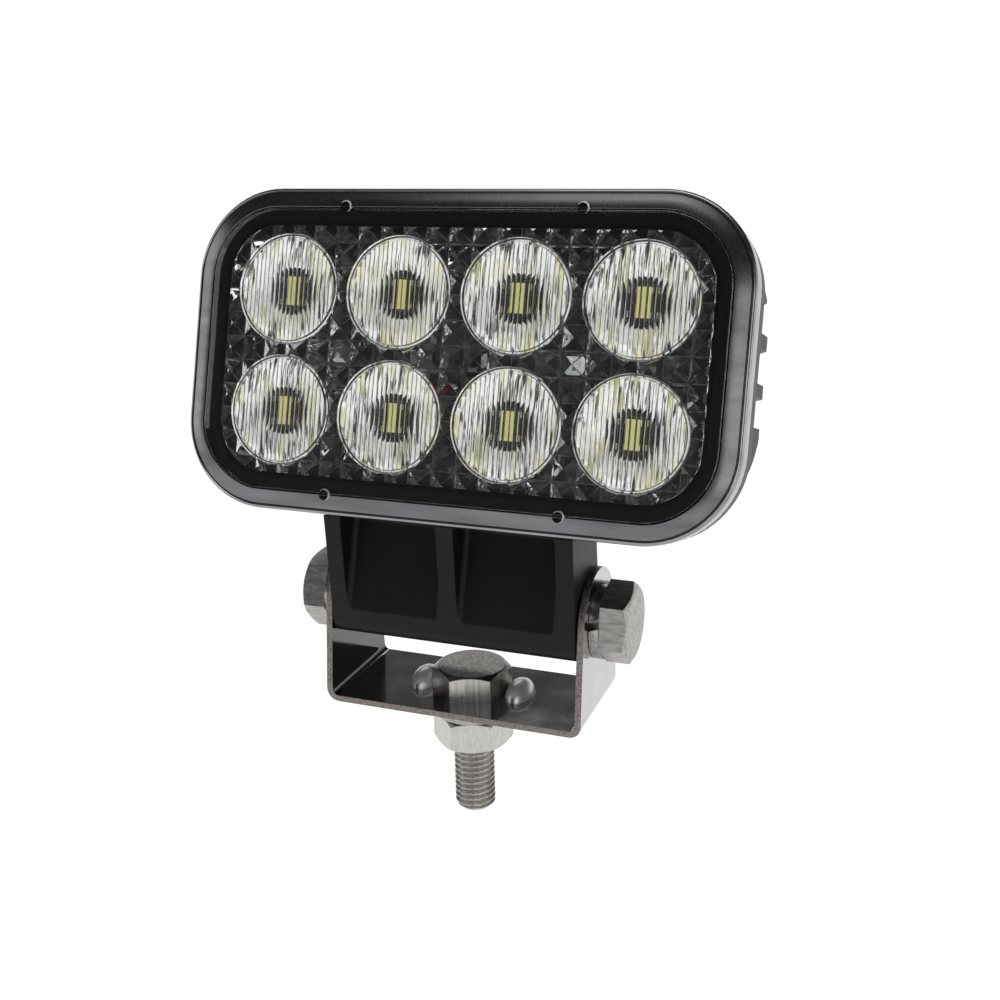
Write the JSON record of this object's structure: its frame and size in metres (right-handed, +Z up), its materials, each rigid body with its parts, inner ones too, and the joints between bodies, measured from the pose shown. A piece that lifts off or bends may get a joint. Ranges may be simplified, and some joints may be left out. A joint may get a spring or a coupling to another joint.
{
  "type": "fog light",
  "caption": "Rectangular LED fog light: a finned black housing with a clear lens in a metal frame, tilting in a U bracket on a single threaded bolt.",
  "frame": {"origin": "on the mounting bolt's axis at the lower face of its nut, where the free thread begins", "axes": "+Z up along the mounting bolt, the lens facing -Y, +X along the pivot axis to the right as seen from in front of the lens"},
  "size_m": [0.1318, 0.0534, 0.1507],
  "materials": {
    "bracket_steel": "polished stainless sheet",
    "bolt_steel": "bright stainless, lightly brushed",
    "washer_steel": "bright stainless",
    "black_casting": "black satin powder coat on cast aluminium",
    "bezel_aluminium": "brushed and lightly bright",
    "clear_lens": "clear moulded polycarbonate",
    "gasket_rubber": "soft black silicone",
    "pad_silicone": "matt grey thermal silicone",
    "board_mask": "black solder mask on an aluminium core",
    "led_package": "yellow phosphor on a pale package",
    "reflector_mirror": "bright metallised",
    "screw_steel": "bright zinc plate",
    "inductor_ferrite": "dark moulded ferrite",
    "capacitor_can": "bright can",
    "chip_moulding": "black epoxy",
    "resistor_ceramic": "pale ceramic with tinned ends",
    "wire_red": "red insulation",
    "wire_black": "black insulation",
    "gland_nylon": "black nylon",
    "vent_plastic": "black moulded"
  },
  "bodies": {
    "bracket": {"mounting_bracket": "bracket_steel", "mounting_bolt": "bolt_steel", "mounting_nut": "bolt_steel", "mounting_spring_washer": "washer_steel", "mounting_flat_washer": "washer_steel"},
    "lamp_head": {"bezel_frame": "bezel_aluminium", "board_screws": "screw_steel", "breather_vent": "vent_plastic", "cable_gland": "gland_nylon", "chip_resistors": "resistor_ceramic", "driver_chips": "chip_moulding", "feed_wire_black": "wire_black", "feed_wire_red": "wire_red", "filter_capacitors": "capacitor_can", "housing": "black_casting", "led_1": "led_package", "led_2": "led_package", "led_3": "led_package", "led_4": "led_package", "led_5": "led_package", "led_6": "led_package", "led_7": "led_package", "led_8": "led_package", "led_board": "board_mask", "lens_cover": "clear_lens", "lens_gasket": "gasket_rubber", "pivot_bolt_left": "bolt_steel", "pivot_bolt_right": "bolt_steel", "pivot_spring_washer_left": "washer_steel", "pivot_spring_washer_right": "washer_steel", "power_inductor": "inductor_ferrite", "reflector_1": "reflector_mirror", "reflector_2": "reflector_mirror", "reflector_3": "reflector_mirror", "reflector_4": "reflector_mirror", "reflector_5": "reflector_mirror", "reflector_6": "reflector_mirror", "reflector_7": "reflector_mirror", "reflector_8": "reflector_mirror", "thermal_pad": "pad_silicone"}
  },
  "joints": [
    {"name": "head_tilt", "type": "hinge", "parent": "bracket", "child": "lamp_head", "pos_m": [0, 0, 0.0359], "axis": [1, 0, 0], "range_deg": [-75, 90]}
  ]
}
